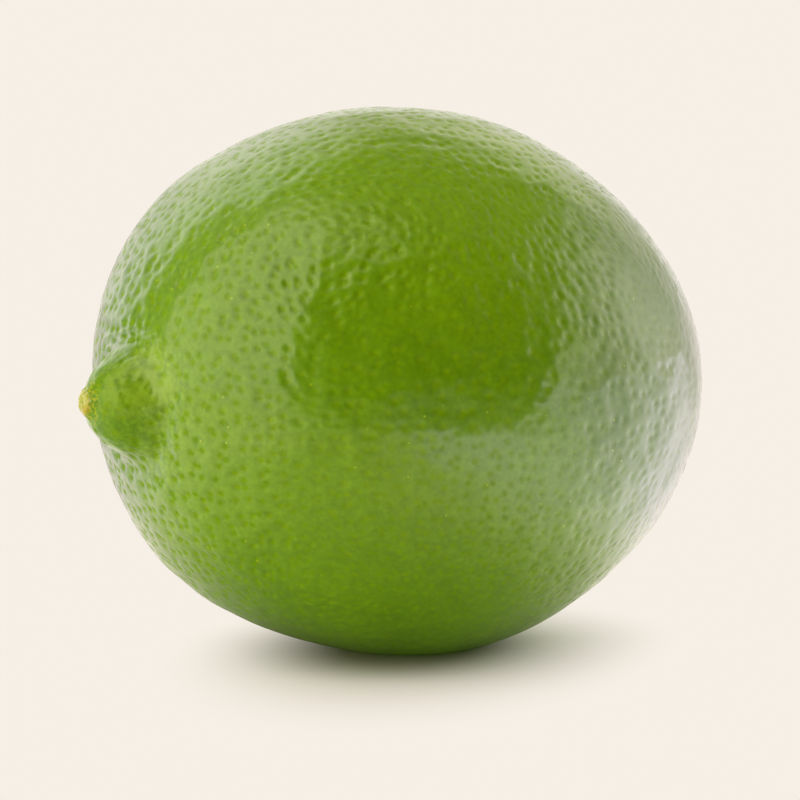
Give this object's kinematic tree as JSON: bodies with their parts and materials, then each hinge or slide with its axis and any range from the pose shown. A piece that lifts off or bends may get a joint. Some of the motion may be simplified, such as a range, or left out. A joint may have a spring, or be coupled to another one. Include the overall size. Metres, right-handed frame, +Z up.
{
  "type": "lime",
  "caption": "Whole unpeeled green lime lying on its side, slightly longer than wide, with a domed nipple at one end and a shallow stem scar at the other.",
  "frame": {"origin": "on the surface the fruit rests on, under the middle of its bounding box", "axes": "+Z up; +X from the nipple end towards the stem end, along the longest side; the flat spot it rests on faces -Z"},
  "size_m": [0.0628, 0.052, 0.0512],
  "materials": {
    "peel": "satin waxy citrus peel with fine oil-gland dimples"
  },
  "bodies": {
    "root": {"lime": "peel"}
  },
  "joints": []
}
